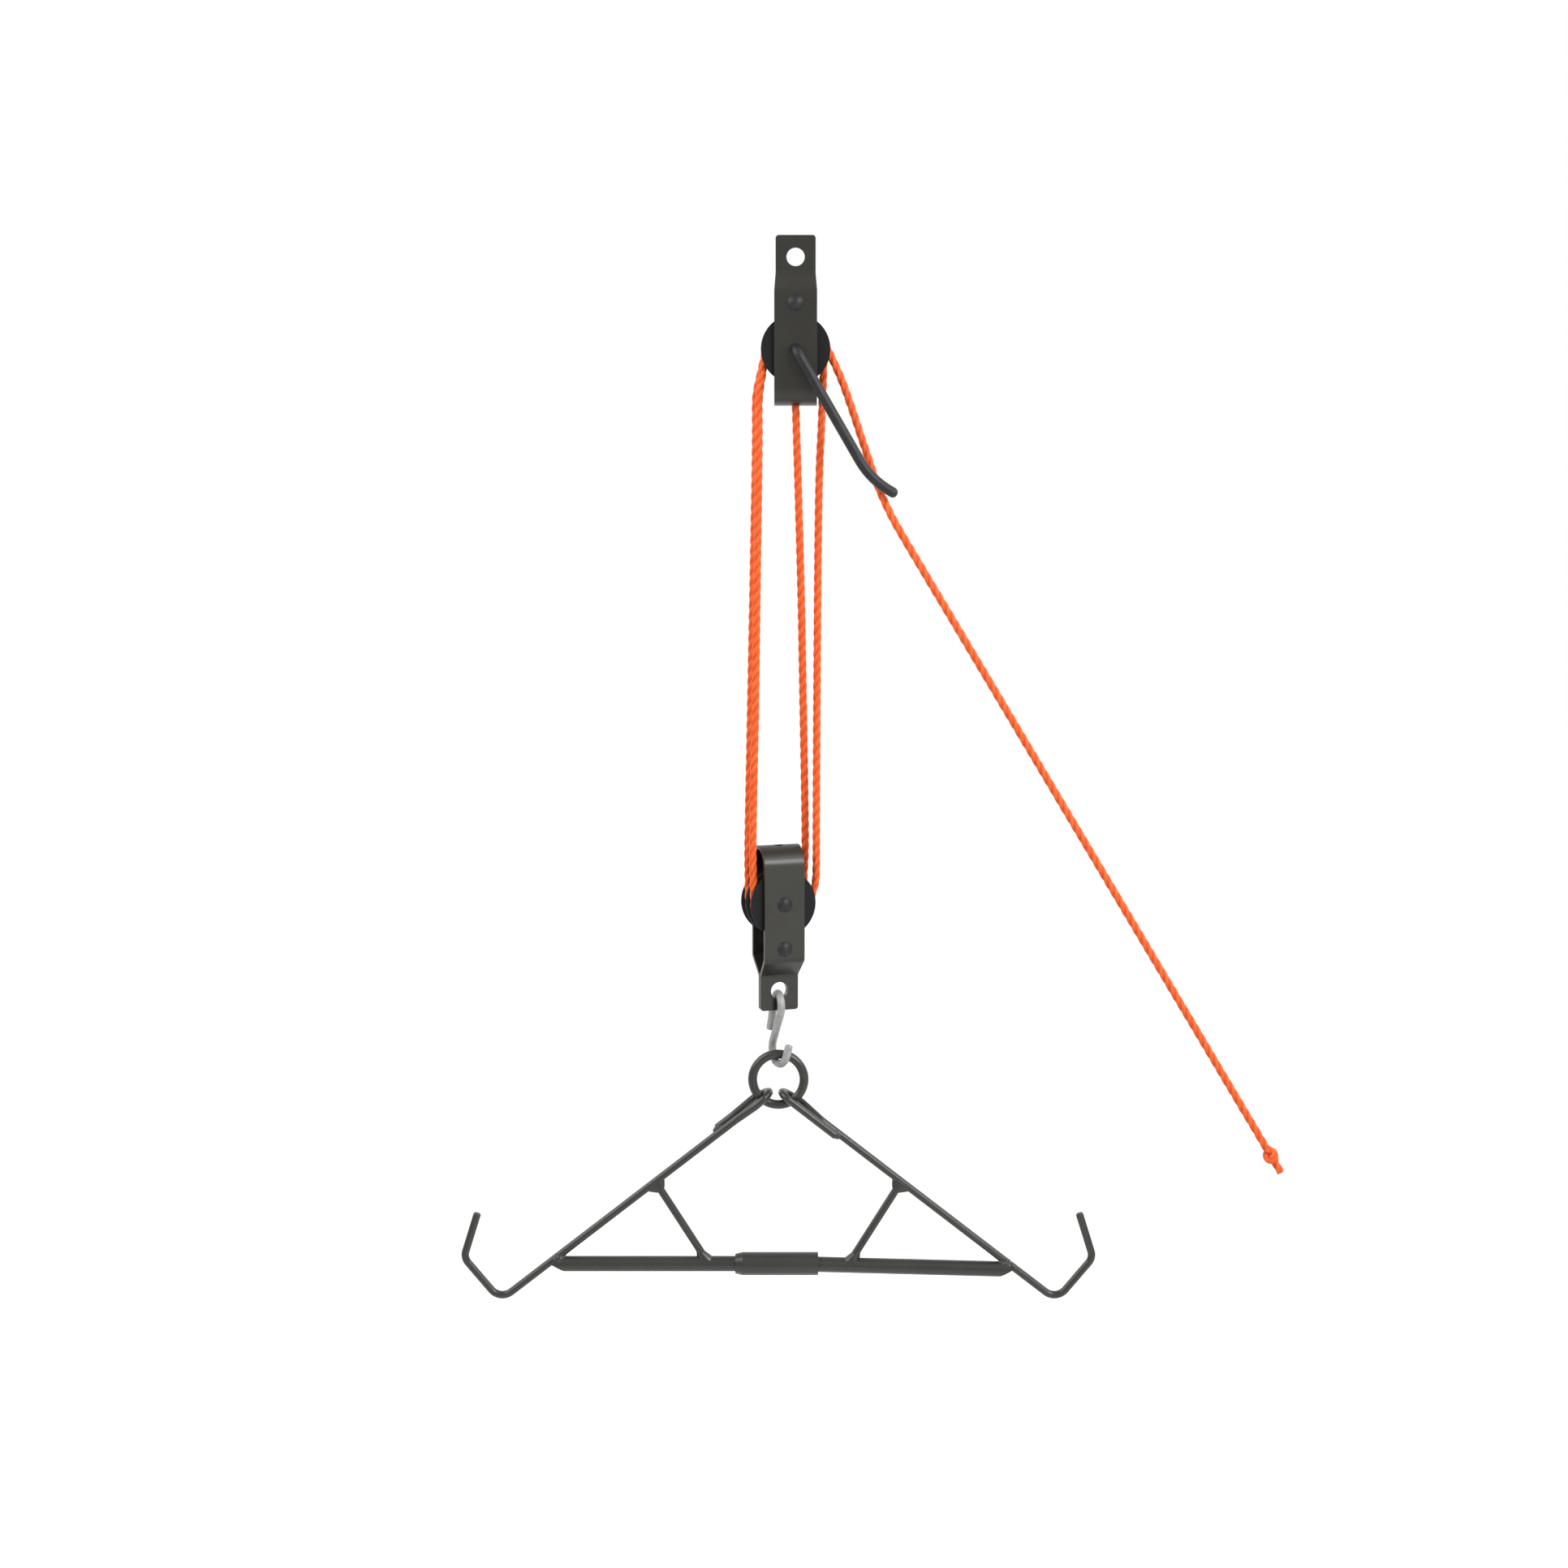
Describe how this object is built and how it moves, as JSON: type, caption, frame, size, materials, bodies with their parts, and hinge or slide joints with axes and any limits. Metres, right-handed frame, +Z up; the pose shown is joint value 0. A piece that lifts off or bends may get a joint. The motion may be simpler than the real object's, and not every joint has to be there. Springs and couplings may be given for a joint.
{
  "type": "game hoist",
  "caption": "Game hoist: double-sheave blocks reeved with orange rope, a folded strap on each, an S-hook, a ring and a two-part gambrel whose hooked ends hold hind legs apart.",
  "frame": {"origin": "centre of the hanging hole in the upper block's tongue, midway through its two layers", "axes": "+Z up along the hoist, +X to the right of the front view, +Y along the upper axle to the rear"},
  "size_m": [0.6595, 0.0914, 0.8577],
  "materials": {
    "strap_steel": "satin",
    "rivet_steel": "satin",
    "sheave_plastic": "matte",
    "zinc_wire": "zinc plated",
    "gambrel_steel": "satin",
    "rope": "three-strand twisted"
  },
  "bodies": {
    "upper_block": {"upper_strap": "strap_steel", "upper_axle_horn": "rivet_steel", "upper_spacer_rivet": "rivet_steel", "upper_spacer_tube": "strap_steel", "upper_divider_washer": "strap_steel", "becket_knot": "rope", "fall_dead_end": "rope", "fall_left_rear": "rope", "fall_right": "rope", "fall_left_front": "rope", "wrap_upper_front": "rope", "wrap_upper_rear": "rope", "hauling_rope": "rope", "hauling_end_knot": "rope"},
    "upper_front_sheave_body": {"upper_front_sheave": "sheave_plastic"},
    "upper_rear_sheave_body": {"upper_rear_sheave": "sheave_plastic"},
    "lower_block": {"lower_strap": "strap_steel", "lower_axle_rivet": "rivet_steel", "lower_spacer_rivet": "rivet_steel", "lower_spacer_tube": "strap_steel", "lower_divider_washer": "strap_steel", "wrap_lower_front": "rope", "wrap_lower_rear": "rope"},
    "lower_front_sheave_body": {"lower_front_sheave": "sheave_plastic"},
    "lower_rear_sheave_body": {"lower_rear_sheave": "sheave_plastic"},
    "s_hook_body": {"s_hook": "zinc_wire"},
    "ring_body": {"ring": "gambrel_steel"},
    "gambrel_left": {"left_arm": "gambrel_steel", "left_crossbar_tube": "gambrel_steel", "left_strut": "gambrel_steel", "left_welds": "gambrel_steel", "coupling_sleeve": "gambrel_steel"},
    "gambrel_right": {"right_arm": "gambrel_steel", "right_crossbar_tube": "gambrel_steel", "right_strut": "gambrel_steel", "right_welds": "gambrel_steel"}
  },
  "joints": [
    {"name": "lift", "type": "slide", "parent": "upper_block", "child": "lower_block", "axis": [0, 0, 1], "range_m": [0, 0.3], "deforming": ["fall_left_front", "fall_left_rear", "fall_right", "fall_dead_end"]},
    {"name": "upper_front_sheave_spin", "type": "hinge", "parent": "upper_block", "child": "upper_front_sheave_body", "pos_m": [0, -0.0071, -0.0715], "axis": [0, 1, 0], "continuous": true},
    {"name": "upper_rear_sheave_spin", "type": "hinge", "parent": "upper_block", "child": "upper_rear_sheave_body", "pos_m": [0, 0.0071, -0.0715], "axis": [0, 1, 0], "continuous": true},
    {"name": "lower_front_sheave_spin", "type": "hinge", "parent": "lower_block", "child": "lower_front_sheave_body", "pos_m": [-0.0137, 0, -0.5122], "axis": [-0.309, 0.9511, 0], "continuous": true},
    {"name": "lower_rear_sheave_spin", "type": "hinge", "parent": "lower_block", "child": "lower_rear_sheave_body", "pos_m": [-0.0137, 0, -0.5122], "axis": [-0.309, 0.9511, 0], "continuous": true},
    {"name": "s_hook_swing", "type": "hinge", "parent": "lower_block", "child": "s_hook_body", "pos_m": [-0.0137, 0, -0.58783], "axis": [-0.309, 0.9511, 0], "range_deg": [-20, 20]},
    {"name": "ring_swing", "type": "hinge", "parent": "s_hook_body", "child": "ring_body", "pos_m": [-0.0137, 0, -0.63758], "axis": [1, 0, 0], "range_deg": [-20, 20]},
    {"name": "gambrel_tip", "type": "hinge", "parent": "ring_body", "child": "gambrel_left", "pos_m": [-0.0137, 0, -0.6747], "axis": [1, 0, 0], "range_deg": [-20, 20]},
    {"name": "gambrel_open", "type": "hinge", "parent": "gambrel_left", "child": "gambrel_right", "pos_m": [-0.00067, 0, -0.6747], "axis": [0, -1, 0], "range_deg": [0, 9]}
  ],
  "couplings": [
    {"joint": "lower_rear_sheave_spin", "follows": "lift", "rad_per_m": 44.248},
    {"joint": "upper_rear_sheave_spin", "follows": "lift", "rad_per_m": 88.496},
    {"joint": "lower_front_sheave_spin", "follows": "lift", "rad_per_m": 132.74},
    {"joint": "upper_front_sheave_spin", "follows": "lift", "rad_per_m": 176.99}
  ]
}
